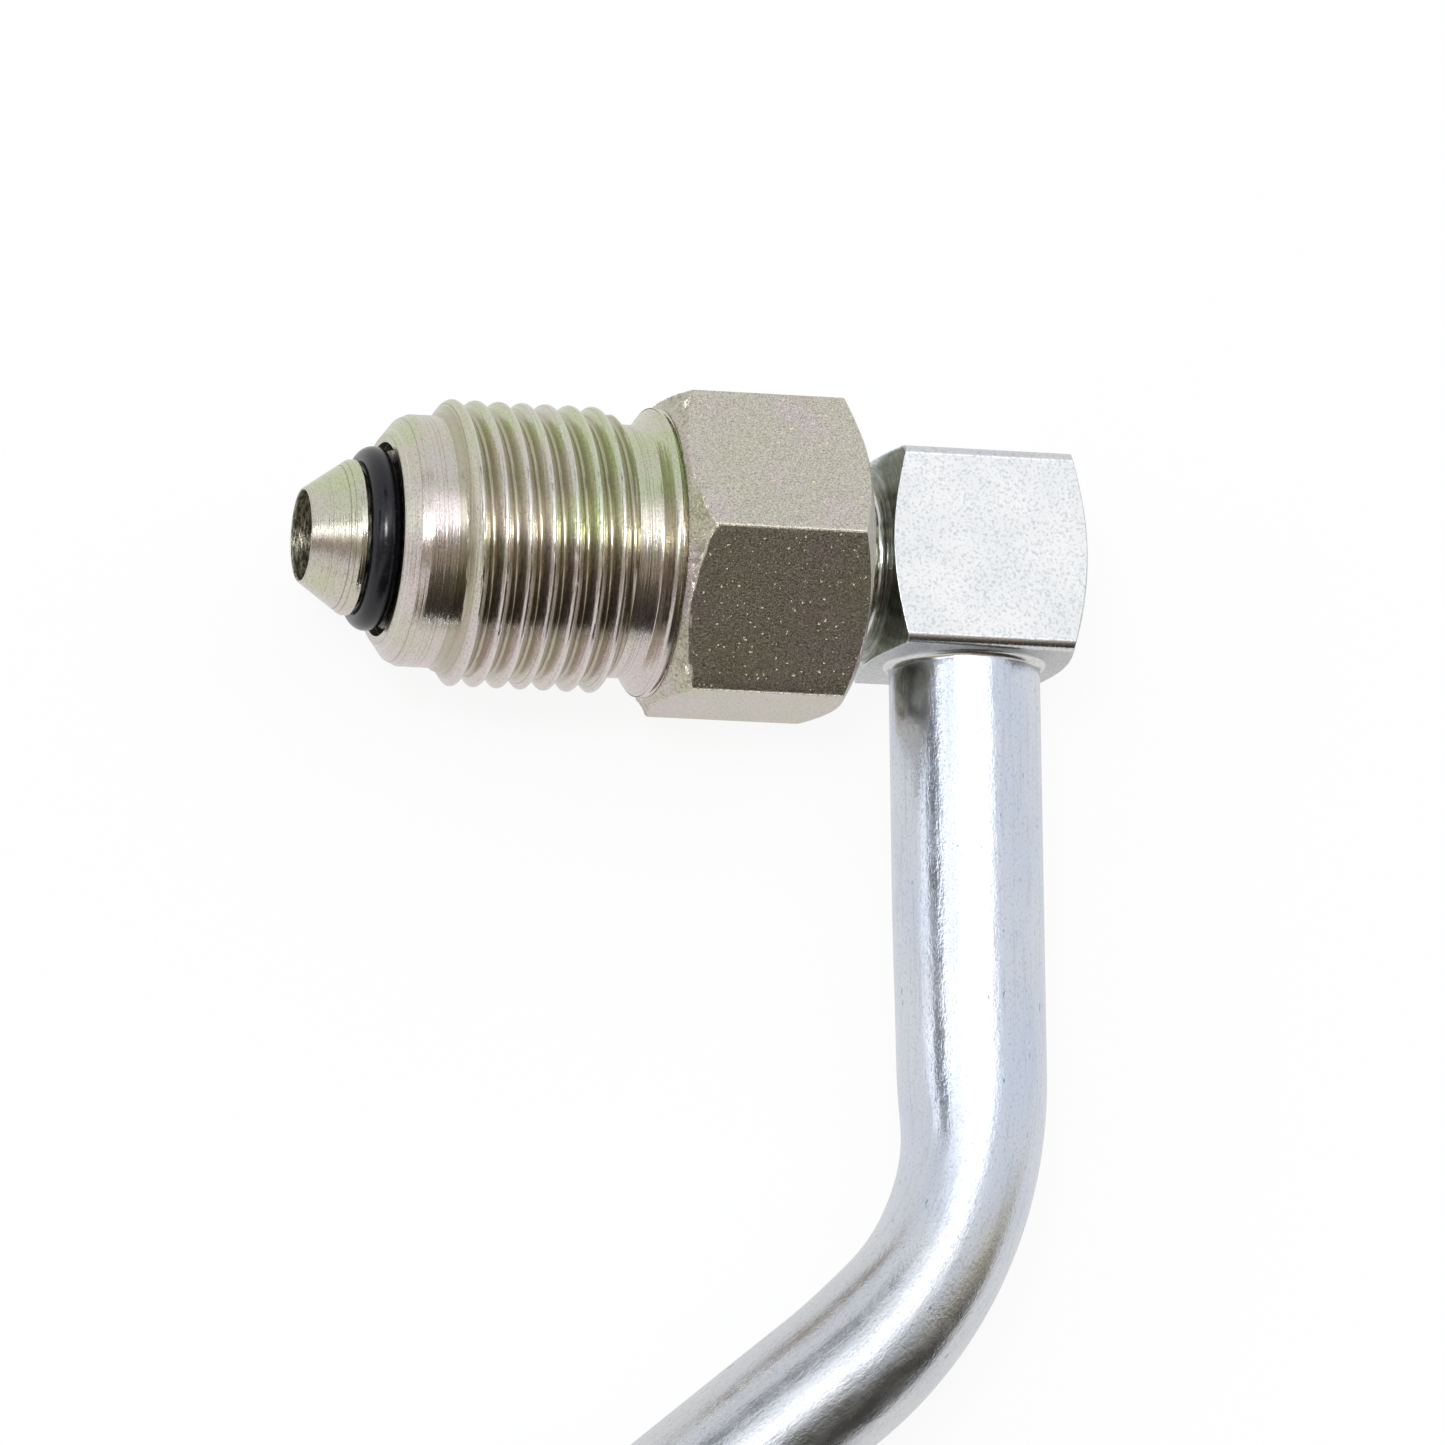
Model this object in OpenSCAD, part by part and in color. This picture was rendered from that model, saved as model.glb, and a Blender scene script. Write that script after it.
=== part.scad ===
// Hydraulic hose assembly, pump end: an O-ring nose with a captive swivel nut, a square
// elbow block, a bent steel tube and the crimp socket that takes the rubber hose.
// The nose axis is X and the first run of tube points along -Y. The tube's bend lies in the
// XY plane. The origin is the centre of the nose's front rim.

/* [Nose nipple] */
// Bore of the nose, which is the oil passage
nose_bore_d = 5.6; // [4:0.1:6.5]
// Outside of the nose at its front rim
nose_rim_d = 5.9; // [4.4:0.1:7]
// Outside of the cone where the O-ring sits against it
cone_end_d = 9.7; // [8.6:0.1:10.4]
// Axial length of the cone
cone_len = 2.75; // [2:0.05:3.2]
// Outside of the shank on which the nut turns
shank_d = 9.4; // [8.6:0.1:9.6]
// Outside of the collar that the nut pulls on
collar_d = 11.2; // [10.6:0.1:11.4]

/* [O-ring] */
// Thickness of the O-ring's cord
o_ring_section = 1.9; // [1.6:0.05:2]
// Outside of the fitted O-ring
o_ring_od = 11.5; // [11:0.1:11.6]

/* [Swivel nut] */
// Major diameter of the thread
thread_d = 17.9; // [17.7:0.01:18]
// Pitch of the thread
thread_pitch = 1.5; // [1:0.25:1.75]
// Number of full thread crests
thread_crests = 7; // [4:1:7]
// Plain lead in front of the thread, and the relief behind it
lead_d = 15.7; // [15:0.1:16]
// Width of the hexagon across its flats
hex_af = 19; // [19:0.5:22]
// Turn of the hexagon as it is stored, from a corner straight up
nut_turn = -3; // [-30:1:30]

/* [Elbow block] */
// Side of the square bar that the block is cut from, and its length
block_w = 12.7; // [12:0.1:16]
// Radius on the bar's long edges
block_edge_r = 0.45; // [0.2:0.05:1]
// Slope of the turned chamfer on both ends
block_chamfer = 20; // [10:1:30]

/* [Tube] */
// Outside of the steel tube
tube_d = 9.525; // [8:0.025:10]
// Wall of the steel tube
tube_wall = 1.245; // [0.7:0.005:1.6]
// Straight run from the block's underside to the bend
first_run = 26.1; // [20:0.1:60]
// Bend radius at the tube's centreline
bend_r = 25.4; // [18:0.1:40]
// Angle of the bend
bend_angle = 51; // [15:1:90]
// Straight run from the bend to the mouth of the hose stem's socket
second_run = 42; // [20:0.5:120]

/* [Hose end] */
// Inside of the hose that the stem fits
hose_id = 9.5; // [8:0.1:10]
// Oil passage through the stem
stem_bore_d = 6; // [4:0.1:6.6]
// Outside of the stem's socket and its lock collar
stem_collar_d = 13; // [12:0.1:14]
// Outside of the crimp ferrule before crimping
ferrule_d = 22; // [21:0.1:24]
// Inside of the crimp ferrule before crimping
ferrule_bore_d = 18.4; // [17:0.1:18.8]
// Length of the crimp ferrule
ferrule_len = 28.5; // [26:0.5:32]

/* [Hidden] */
$fn = 96;
// Overlap that keeps a cut clear of the face that it opens
cut = 0.1;
// Gap that brazing alloy fills between a part and its socket
braze_gap = 0.05;
// Leg of the small fillet of brazing alloy
braze_leg = 0.4;

// Stations along the nose axis
groove_x = cone_len + 0.4;
o_ring_x = groove_x + o_ring_section / 2 + 0.2;
collar_x = groove_x + o_ring_section + 0.4;
collar_back_x = collar_x + 1.2;
nut_front_x = 5.05;
nut_rim_r = 6.5;
nut_mouth_d = o_ring_od + 0.6;
nut_floor_x = collar_back_x + 0.4;
nut_bore_d = shank_d + 0.16;
// The plain lead's start, and the shallow slope in front of it
lead_x = 6.5;
lead_slope_x = 5.9;
lead_fall = 0.15;
first_crest_x = 9.45;
thread_depth = 0.83;
crest_flat = 0.3;
root_flat = 0.24;
thread_x = first_crest_x - thread_pitch / 2;
// The full crests' land beyond the grooves, and the slope down from it at both ends
thread_land = 0.2;
run_in = 0.5;
run_out = 0.7;
relief_x = thread_x + thread_crests * thread_pitch;
shoulder_x = relief_x + 1.75;
shoulder_d = 18.3;
shoulder_ramp = 0.25;
shoulder_break = 0.3;
hex_x = 22.45;
hex_back_x = 34.45;
hex_corner_r = hex_af / 2 / cos(30);
corner_clear = 1;
hex_front_chamfer = 32;
hex_back_chamfer = 30;
nut_back_r = 9.2;

// The block and the passages that meet in its middle
block_x = 36.4;
block_mid_x = block_x + block_w / 2;
block_back_x = block_x + block_w;
end_circle_r = block_w / 2 - 0.1;
block_passage_r = 3;
spigot_r = 4.05;
spigot_len = 1.2;
tube_seat_y = -3.1;

// The tube's bend, with its centre on the nose side of the first run
tube_r = tube_d / 2;
tube_bore_r = tube_r - tube_wall;
bend_y = -block_w / 2 - first_run;
bend_centre = [block_mid_x - bend_r, bend_y];
bend_end = bend_centre + bend_r * [cos(bend_angle), -sin(bend_angle)];
// How much thinner bending leaves the tube, and how far a straight run laps over the bend
bend_draw = 0.02;
bend_lap = 0.05;
tube_in_stem = 8;

// Stations along the hose end, counted from the end of the bend
stem_x = second_run;
lock_x = stem_x + 11.4;
lock_width = 1.8;
lock_r = 5.6;
collar_end_x = lock_x + lock_width + 1.2;
collar_break = 0.4;
socket_break = 0.5;
mouth_x = lock_x + ferrule_len;
stem_end_x = mouth_x - 0.6;
tip_len = 0.8;
tip_drop = 0.6;
barb_x = collar_end_x + 1.4;
barb_pitch = 3.6;
barb_count = 6;
barb_r = hose_id / 2 + 0.35;
barb_root_r = hose_id / 2 - 0.15;
barb_flat = 0.5;
barb_gap = 0.7;
// The ferrule's rounded front, its mouth and the ribs inside it
dome_len = 1.4;
dome_rise = 2.2;
mouth_break = 0.5;
rib_lead = 1;
rib_flat = 0.5;
rib_slope = 0.7;
rib_count = 5;
rib_pitch = 4.2;
rib_height = 0.35;

// Turns a profile of [distance along the axis, radius] points round the X axis
module turned(profile) {
    rotate([0, 90, 0])
        rotate_extrude()
            polygon([for (p = profile) [p[1], p[0]]]);
}

// A plain bore along X
module bore_x(from_x, to_x, r) {
    translate([from_x, 0, 0])
        rotate([0, 90, 0])
            cylinder(h = to_x - from_x, r = r);
}

// Places the pieces of the hose end, so that X runs on along the tube from its bend
module on_hose_end() {
    translate([bend_end[0], bend_end[1], 0])
        rotate([0, 0, -90 - bend_angle])
            children();
}

// The nose, O-ring groove, collar and shank are one turned piece
module nose_nipple() {
    color("#a9a38a")
        difference() {
            turned([[0, 0], [0, nose_rim_d / 2], [cone_len, cone_end_d / 2],
                    [groove_x, cone_end_d / 2], [groove_x, o_ring_od / 2 - o_ring_section],
                    [collar_x, o_ring_od / 2 - o_ring_section], [collar_x, collar_d / 2],
                    [collar_back_x, collar_d / 2], [collar_back_x, shank_d / 2],
                    [block_x, shank_d / 2], [block_x, spigot_r],
                    [block_x + spigot_len, spigot_r], [block_x + spigot_len, 0]]);
            bore_x(-cut, block_x + spigot_len + cut, nose_bore_d / 2);
        }
}

// The seal lies in the groove behind the cone
module nose_o_ring() {
    color("#17171b")
        translate([o_ring_x, 0, 0])
            rotate([0, 90, 0])
                rotate_extrude()
                    translate([o_ring_od / 2 - o_ring_section / 2, 0])
                        circle(d = o_ring_section);
}

// The V grooves between the crests of the thread, as rings of the thread's own section
module thread_grooves() {
    flank = (thread_pitch - crest_flat - root_flat) / 2;
    outer_r = thread_d / 2;
    for (i = [0 : thread_crests]) {
        x = thread_x + i * thread_pitch;
        turned([[x - root_flat / 2, outer_r - thread_depth],
                [x - root_flat / 2 - flank, outer_r],
                [x - root_flat / 2 - flank, outer_r + cut],
                [x + root_flat / 2 + flank, outer_r + cut],
                [x + root_flat / 2 + flank, outer_r],
                [x + root_flat / 2, outer_r - thread_depth]]);
    }
}

// The hexagon, whose ends are turned to cones that leave round-topped flats.
// The cones meet outside its corners, so they cut each corner cleanly
module nut_hexagon() {
    clear_r = hex_corner_r + corner_clear;
    intersection() {
        translate([hex_x, 0, 0])
            rotate([-nut_turn, 0, 0])
                rotate([0, 90, 0])
                    cylinder(h = hex_back_x - hex_x, r = hex_corner_r, $fn = 6);
        turned([[hex_x, 0], [hex_x, shoulder_d / 2],
                [hex_x + (clear_r - shoulder_d / 2) * tan(hex_front_chamfer), clear_r],
                [hex_back_x - (clear_r - nut_back_r) * tan(hex_back_chamfer), clear_r],
                [hex_back_x, nut_back_r], [hex_back_x, 0]]);
    }
}

// The male nut turns on the shank and pulls on the collar
module swivel_nut() {
    color("#aaa58f")
        difference() {
            union() {
                turned([[nut_front_x, 0], [nut_front_x, nut_rim_r],
                        [lead_slope_x, lead_d / 2 - lead_fall], [lead_x, lead_d / 2],
                        [thread_x - thread_land - run_in, lead_d / 2],
                        [thread_x - thread_land, thread_d / 2],
                        [relief_x + thread_land, thread_d / 2],
                        [relief_x + thread_land + run_out, lead_d / 2],
                        [shoulder_x, lead_d / 2],
                        [shoulder_x + shoulder_ramp, shoulder_d / 2 - shoulder_break],
                        [shoulder_x + shoulder_ramp + shoulder_break, shoulder_d / 2],
                        [hex_x, shoulder_d / 2], [hex_x, 0]]);
                nut_hexagon();
            }
            thread_grooves();
            bore_x(nut_front_x - cut, nut_floor_x, nut_mouth_d / 2);
            bore_x(nut_floor_x - cut, hex_back_x + cut, nut_bore_d / 2);
        }
}

// A length of square bar, turned at both ends and drilled from two sides
module elbow_block() {
    half = block_w / 2;
    inner = half - block_edge_r;
    corner_r = half * sqrt(2);
    end_rise = (corner_r - end_circle_r) * tan(block_chamfer);
    color("#c9ced6")
        difference() {
            intersection() {
                translate([block_x, 0, 0])
                    rotate([0, 90, 0])
                        linear_extrude(block_w)
                            union() {
                                square([block_w, 2 * inner], center = true);
                                square([2 * inner, block_w], center = true);
                                for (a = [-inner, inner], b = [-inner, inner])
                                    translate([a, b])
                                        circle(r = block_edge_r);
                            }
                turned([[block_x, 0], [block_x, end_circle_r],
                        [block_x + end_rise, corner_r], [block_back_x - end_rise, corner_r],
                        [block_back_x, end_circle_r], [block_back_x, 0]]);
            }
            bore_x(block_x - cut, block_x + spigot_len, spigot_r + braze_gap);
            bore_x(block_x, block_mid_x, block_passage_r);
            translate([block_mid_x, 0, 0])
                rotate([90, 0, 0])
                    cylinder(h = half, r = block_passage_r);
            translate([block_mid_x, tube_seat_y, 0])
                rotate([90, 0, 0])
                    cylinder(h = half, r = tube_r + braze_gap);
            translate([block_mid_x, 0, 0])
                sphere(r = block_passage_r);
        }
}

// A fillet of brazing alloy round a shaft, where the shaft enters a face at X = 0
module braze_fillet(shaft_r) {
    turned([[-braze_leg, shaft_r], [-braze_leg / 3, shaft_r + braze_leg / 3],
            [0, shaft_r + braze_leg], [0, shaft_r]]);
}

// Alloy where the shank enters the block
module nipple_braze() {
    color("#b9b6a6")
        translate([block_x, 0, 0])
            braze_fillet(shank_d / 2);
}

// Alloy where the tube enters the block
module tube_braze() {
    color("#c3c8d0")
        translate([block_mid_x, -block_w / 2, 0])
            rotate([0, 0, 90])
                braze_fillet(tube_r);
}

// Alloy where the tube enters the hose stem
module stem_braze() {
    color("#c3c8d0")
        on_hose_end()
            translate([stem_x, 0, 0])
                braze_fillet(tube_r);
}

// The tube's path as a solid rod, longer by over at its two ends
module tube_rod(r, over) {
    translate([block_mid_x, tube_seat_y + over, 0])
        rotate([90, 0, 0])
            cylinder(h = tube_seat_y + over - bend_y + bend_lap, r = r);
    translate([bend_centre[0], bend_centre[1], 0])
        rotate([0, 0, -bend_angle])
            rotate_extrude(angle = bend_angle)
                translate([bend_r, 0])
                    circle(r = r - bend_draw);
    on_hose_end()
        bore_x(-bend_lap, stem_x + tube_in_stem + over, r);
}

// Drawn steel tube, bent once
module bent_tube() {
    color("#c6ccd6")
        difference() {
            tube_rod(tube_r, 0);
            tube_rod(tube_bore_r, cut);
        }
}

// The stem takes the tube in its socket and the hose over its barbs
module hose_stem() {
    color("#b4b9c2")
        on_hose_end()
            difference() {
                union() {
                    turned([[stem_x, 0], [stem_x, stem_collar_d / 2 - socket_break],
                            [stem_x + socket_break, stem_collar_d / 2],
                            [lock_x, stem_collar_d / 2], [lock_x, lock_r],
                            [lock_x + lock_width, lock_r],
                            [lock_x + lock_width, stem_collar_d / 2],
                            [collar_end_x, stem_collar_d / 2 - collar_break],
                            [collar_end_x, barb_root_r], [stem_end_x - tip_len, barb_root_r],
                            [stem_end_x, barb_root_r - tip_drop], [stem_end_x, 0]]);
                    for (i = [0 : barb_count - 1])
                        translate([barb_x + i * barb_pitch, 0, 0])
                            turned([[0, 0], [0, barb_r], [barb_flat, barb_r],
                                    [barb_pitch - barb_gap, barb_root_r - cut],
                                    [barb_pitch - barb_gap, 0]]);
                }
                bore_x(stem_x - cut, stem_x + tube_in_stem, tube_r + braze_gap);
                bore_x(stem_x, stem_end_x + cut, stem_bore_d / 2);
            }
}

// The shell is staked into the stem's lock groove, and its ribs bite the hose when crimped
module crimp_ferrule() {
    outer_r = ferrule_d / 2;
    inner_r = ferrule_bore_d / 2;
    color("#bcc2cc")
        on_hose_end()
            union() {
                difference() {
                    turned([[lock_x + braze_gap, 0], [lock_x + braze_gap, outer_r - dome_rise],
                            [lock_x + dome_len, outer_r], [mouth_x - mouth_break, outer_r],
                            [mouth_x, outer_r - mouth_break], [mouth_x, 0]]);
                    bore_x(lock_x - cut, mouth_x, lock_r + braze_gap);
                    bore_x(lock_x + lock_width - braze_gap, mouth_x + cut, inner_r);
                }
                for (i = [1 : rib_count])
                    translate([lock_x + rib_lead + i * rib_pitch, 0, 0])
                        turned([[0, inner_r + cut], [0, inner_r - rib_height],
                                [rib_flat, inner_r - rib_height],
                                [rib_flat + rib_slope, inner_r + cut]]);
            }
}

nose_nipple();
nose_o_ring();
swivel_nut();
elbow_block();
nipple_braze();
bent_tube();
tube_braze();
hose_stem();
stem_braze();
crimp_ferrule();
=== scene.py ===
import math

import bpy
import numpy as np
from mathutils import Matrix, Vector


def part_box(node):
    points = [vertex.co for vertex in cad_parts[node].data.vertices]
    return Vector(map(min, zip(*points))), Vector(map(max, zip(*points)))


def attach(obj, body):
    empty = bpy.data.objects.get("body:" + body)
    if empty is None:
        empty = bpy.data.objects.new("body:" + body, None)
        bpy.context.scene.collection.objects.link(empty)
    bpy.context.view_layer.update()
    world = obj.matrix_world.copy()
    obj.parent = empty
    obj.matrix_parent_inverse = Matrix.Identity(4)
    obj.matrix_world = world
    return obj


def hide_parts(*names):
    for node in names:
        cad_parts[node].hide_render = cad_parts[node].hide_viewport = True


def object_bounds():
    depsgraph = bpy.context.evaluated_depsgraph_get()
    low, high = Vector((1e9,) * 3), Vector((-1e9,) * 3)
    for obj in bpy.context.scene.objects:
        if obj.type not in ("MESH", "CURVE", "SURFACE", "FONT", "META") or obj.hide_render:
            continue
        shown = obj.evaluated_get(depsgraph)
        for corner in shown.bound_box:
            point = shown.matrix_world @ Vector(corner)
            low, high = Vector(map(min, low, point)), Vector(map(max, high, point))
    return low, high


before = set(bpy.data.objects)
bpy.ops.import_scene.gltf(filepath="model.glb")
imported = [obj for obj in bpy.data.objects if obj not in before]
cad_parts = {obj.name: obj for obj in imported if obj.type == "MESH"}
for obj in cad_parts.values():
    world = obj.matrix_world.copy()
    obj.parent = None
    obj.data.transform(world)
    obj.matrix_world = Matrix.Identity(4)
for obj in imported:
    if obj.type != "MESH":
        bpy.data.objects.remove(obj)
cad_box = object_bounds()

# ---- Camera ----------------------------------------------------------------------------------
# A long lens looks down on the part from 0.7 m, a little from the nose's side and from below.
# Its place and turns are in the part's own frame; its focal length is counted in image points.
mm = 0.001
image_points = 1445
focal_points = 12000
camera_data = bpy.data.cameras.new("camera")
camera_data.sensor_width = 36
camera_data.lens = camera_data.sensor_width * focal_points / image_points
camera_data.clip_start = 0.05
camera_data.clip_end = 20
camera = bpy.data.objects.new("camera", camera_data)
bpy.context.scene.collection.objects.link(camera)
camera_place = Vector((-167.04, -172.81, 705.19)) * mm
roll, tip, swing = math.radians(0.6756), math.radians(-12.5017), math.radians(15.3818)
to_camera = (Matrix.Rotation(roll, 3, "Z") @ Matrix.Rotation(tip, 3, "X")
             @ Matrix.Rotation(swing, 3, "Y"))
camera.matrix_world = Matrix.LocRotScale(camera_place, to_camera.transposed(), None)
bpy.context.scene.camera = camera
bpy.context.scene.view_settings.view_transform = "Standard"

# ---- Nose nipple -----------------------------------------------------------------------------
# One turned steel piece: the cone with its thin rim, the O-ring groove, the collar that the nut
# pulls on, the shank that the nut turns on, and the spigot that is brazed into the elbow block.
# The cone is zinc plated and shows faint green and pink, painted greener on top and pinker below as
# a painted reflection colour; behind it and in the bore, the steel is painted dark brown as painted
# shade, and scored.


def rounded_loop(corners, step):
    """Points of a closed profile. Each corner (along, out, radius) is replaced by the arc that
    touches both of its sides, and the straight lines between arcs are cut into equal steps."""
    arc_points = 7
    corners = np.array(corners, float)
    arcs = []
    for k in range(len(corners)):
        here, radius = corners[k, :2], corners[k, 2]
        back = corners[k - 1, :2] - here
        ahead = corners[(k + 1) % len(corners), :2] - here
        back, ahead = back / np.hypot(*back), ahead / np.hypot(*ahead)
        half = math.acos(np.clip(back @ ahead, -1, 1)) / 2
        if radius == 0:
            arcs.append(here[None])
            continue
        middle = here + (back + ahead) / np.hypot(*(back + ahead)) * radius / math.sin(half)
        start = here + back * radius / math.tan(half) - middle
        end = here + ahead * radius / math.tan(half) - middle
        sweep = math.atan2(start[0] * end[1] - start[1] * end[0], start @ end)
        turn = np.linspace(0, sweep, arc_points)[:, None]
        side = np.array([-start[1], start[0]])
        arcs.append(middle + np.cos(turn) * start + np.sin(turn) * side)
    points = []
    for k, arc in enumerate(arcs):
        goal = arcs[(k + 1) % len(arcs)][0]
        count = max(1, math.ceil(np.hypot(*(goal - arc[-1])) / step))
        share = np.arange(1, count)[:, None] / count
        points += [arc, arc[-1] + (goal - arc[-1]) * share]
    return np.concatenate(points)


def turned(along, out, angles):
    """Grid of a profile carried round the X axis: (along, out * sin a, out * cos a), where the
    angle a counts from +Z towards +Y. Along and out may differ from one angle to the next."""
    out = out * np.ones((1, len(angles)))
    along = along * np.ones((1, len(angles)))
    return np.stack([along, out * np.sin(angles), out * np.cos(angles)], -1)


def round_angles(count):
    """Equal angles all the way round."""
    return np.arange(count) * 2 * math.pi / count


def waves(place, spacing, seed, count=24):
    """A smooth wavy value between about -1 and 1 along place: a sum of sines whose wavelengths
    lie between half of spacing and three times spacing."""
    dice = np.random.default_rng(seed)
    lengths = spacing * np.exp(dice.uniform(math.log(0.5), math.log(3), count))
    shifts = dice.uniform(0, 2 * math.pi, count)
    total = sum(np.sin(2 * math.pi * place / w + s) for w, s in zip(lengths, shifts))
    return total / math.sqrt(count)


def piece(name, grid, body, nodes, materials, rows=None, poles=False):
    """A closed mesh over a grid of points in millimetres, put on its body. Columns run round
    and meet. Rows run from first to last and meet too or, with poles, each end row is drawn to
    its own middle point. rows gives each row's, or each face's, place in the materials. Faces
    that meet at more than sharp degrees keep a hard edge."""
    sharp = 35
    row_count, column_count = grid.shape[:2]
    points = grid.reshape(-1, 3) * mm
    index = np.arange(row_count * column_count).reshape(row_count, column_count)
    low = index[:-1] if poles else index
    high = index[1:] if poles else np.roll(index, -1, 0)
    quads = np.stack([low, np.roll(low, -1, 1), np.roll(high, -1, 1), high], -1)
    quads = quads.reshape(-1, 4)
    fans = np.zeros((0, 3), int)
    if poles:
        points = np.concatenate([points, [grid[0].mean(0) * mm, grid[-1].mean(0) * mm]])
        first, last = len(points) - 2, len(points) - 1
        ring = np.arange(column_count)
        ahead = np.roll(ring, -1)
        top = (row_count - 1) * column_count
        fans = np.concatenate([np.stack([ring * 0 + first, ahead, ring], -1),
                               np.stack([ring * 0 + last, top + ring, top + ahead], -1)])
    halves = np.concatenate([quads[:, [0, 1, 2]], quads[:, [0, 2, 3]], fans])
    a, b, c = (points[halves[:, k]] for k in range(3))
    if (np.cross(a, b) * c).sum() < 0:
        quads, fans = quads[:, ::-1], fans[:, ::-1]
    mesh = bpy.data.meshes.new(name)
    mesh.vertices.add(len(points))
    mesh.vertices.foreach_set("co", points.astype(np.float32).ravel())
    mesh.loops.add(quads.size + fans.size)
    corners = np.concatenate([quads.ravel(), fans.ravel()]).astype(np.int32)
    mesh.loops.foreach_set("vertex_index", corners)
    mesh.polygons.add(len(quads) + len(fans))
    starts = np.concatenate([np.arange(len(quads)) * 4, quads.size + np.arange(len(fans)) * 3])
    mesh.polygons.foreach_set("loop_start", starts.astype(np.int32))
    for material in materials:
        mesh.materials.append(material)
    if rows is not None:
        chosen = np.asarray(rows)[: len(quads) // column_count]
        chosen = chosen.reshape(len(chosen), -1) * np.ones((1, column_count), int)
        chosen = np.concatenate([chosen.ravel(), np.zeros(len(fans), int)])
        mesh.polygons.foreach_set("material_index", chosen.astype(np.int32))
    mesh.update(calc_edges=True)
    mesh.shade_smooth()
    mesh.set_sharp_from_angle(angle=math.radians(sharp))
    made = bpy.data.objects.new(name, mesh)
    bpy.context.scene.collection.objects.link(made)
    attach(made, body)
    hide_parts(*nodes)
    return made


def add(material, kind, inputs=None, **settings):
    """A shader node with its settings and its inputs, each a value or another node's output."""
    tree = material.node_tree
    made = tree.nodes.new("ShaderNode" + kind)
    for name, value in settings.items():
        setattr(made, name, value)
    for name, value in (inputs or {}).items():
        if isinstance(value, bpy.types.NodeSocket):
            tree.links.new(value, made.inputs[name])
        else:
            made.inputs[name].default_value = value
    return made


def sums(material, operation, *values):
    """The output of one arithmetic node."""
    inputs = dict(enumerate(values))
    return add(material, "Math", inputs, operation=operation).outputs[0]


def spread(material, value, low, high, to_low=0.0, to_high=1.0):
    """A value carried from the range low to high, over to the range to_low to to_high."""
    inputs = {"Value": value, "From Min": low, "From Max": high,
              "To Min": to_low, "To Max": to_high}
    return add(material, "MapRange", inputs, interpolation_type="SMOOTHSTEP").outputs[0]


def tinted(material, share, under, over):
    """One colour laid over another by share. Each is a colour or another node's output."""
    mixer = add(material, "Mix", data_type="RGBA")
    for socket, value in zip((mixer.inputs[0], mixer.inputs[6], mixer.inputs[7]),
                             (share, under, over)):
        if isinstance(value, bpy.types.NodeSocket):
            material.node_tree.links.new(value, socket)
        elif isinstance(value, tuple):
            socket.default_value = (*value, 1)
        else:
            socket.default_value = value
    return mixer.outputs[2]


def blotches(material, place, size, detail=2.0, roughness=0.5, stretch=(1, 1, 1)):
    """Noise from 0 to 1 whose blotches are about size millimetres wide."""
    moved = add(material, "Mapping", {"Vector": place, "Scale": stretch}).outputs[0]
    inputs = {"Vector": moved, "Scale": 1 / (size * mm), "Detail": detail,
              "Roughness": roughness}
    return add(material, "TexNoise", inputs).outputs[0]


def rings(material, along, pitch, detail=3.0):
    """Noise from 0 to 1 that changes only along a turned piece, every pitch millimetres."""
    inputs = {"W": sums(material, "MULTIPLY", along, 1 / (pitch * mm)), "Scale": 1.0,
              "Detail": detail, "Roughness": 0.6}
    return add(material, "TexNoise", inputs, noise_dimensions="1D").outputs[0]


def metal(name):
    """An empty metal material, with its shader and its pattern coordinates."""
    material = bpy.data.materials.new(name)
    material.use_nodes = True
    shader = material.node_tree.nodes["Principled BSDF"]
    shader.inputs["Metallic"].default_value = 1
    place = add(material, "TexCoord").outputs["Object"]
    return material, shader, place


def finish(material, shader, colour, roughness, heights):
    """Joins a colour, a roughness and bumps, each a height from 0 to 1 and its size in
    millimetres, to the shader."""
    link = material.node_tree.links.new
    link(colour, shader.inputs["Base Color"])
    link(roughness, shader.inputs["Roughness"])
    normal = None
    for height, size in heights:
        inputs = {"Height": height, "Distance": size * mm, "Strength": 1.0}
        if normal:
            inputs["Normal"] = normal
        normal = add(material, "Bump", inputs).outputs[0]
    link(normal, shader.inputs["Normal"])


pink_zinc = (0.71, 0.62, 0.60)
straw_zinc = (0.67, 0.63, 0.53)
green_zinc = (0.60, 0.65, 0.42)
pale_zinc_and_highlight = (0.80, 0.79, 0.74)


def passivated(material, place, size, green_share=1.0, sheen_by_height=24.0):
    """Zinc plate under a thin passivate: straw, with green and pink drifting in, in blotches of
    about size millimetres. On top of the blotches, the high (+Y) side is painted greener and the
    low side pinker, a painted reflection colour; the last argument sets how strongly."""
    cloud = blotches(material, place, size, 3)
    high = add(material, "SeparateXYZ", {"Vector": place}).outputs[1]
    # Painted reflection colour: the blotches lean green on the high side and pink on the low side.
    cloud_and_sheen = sums(material, "ADD", cloud, sums(material, "MULTIPLY", high, sheen_by_height))
    green = spread(material, cloud_and_sheen, 0.5, 0.66, 0, green_share)
    pink = spread(material, cloud_and_sheen, 0.5, 0.34)
    colour = tinted(material, green, straw_zinc, green_zinc)
    return tinted(material, pink, colour, pink_zinc)


def from_axis(material, place):
    """Distance from the nose axis, in metres."""
    across = add(material, "VectorMath", {0: place, 1: (0, 1, 1)}, operation="MULTIPLY")
    return add(material, "VectorMath", {0: across.outputs[0]},
               operation="LENGTH").outputs["Value"]


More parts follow.
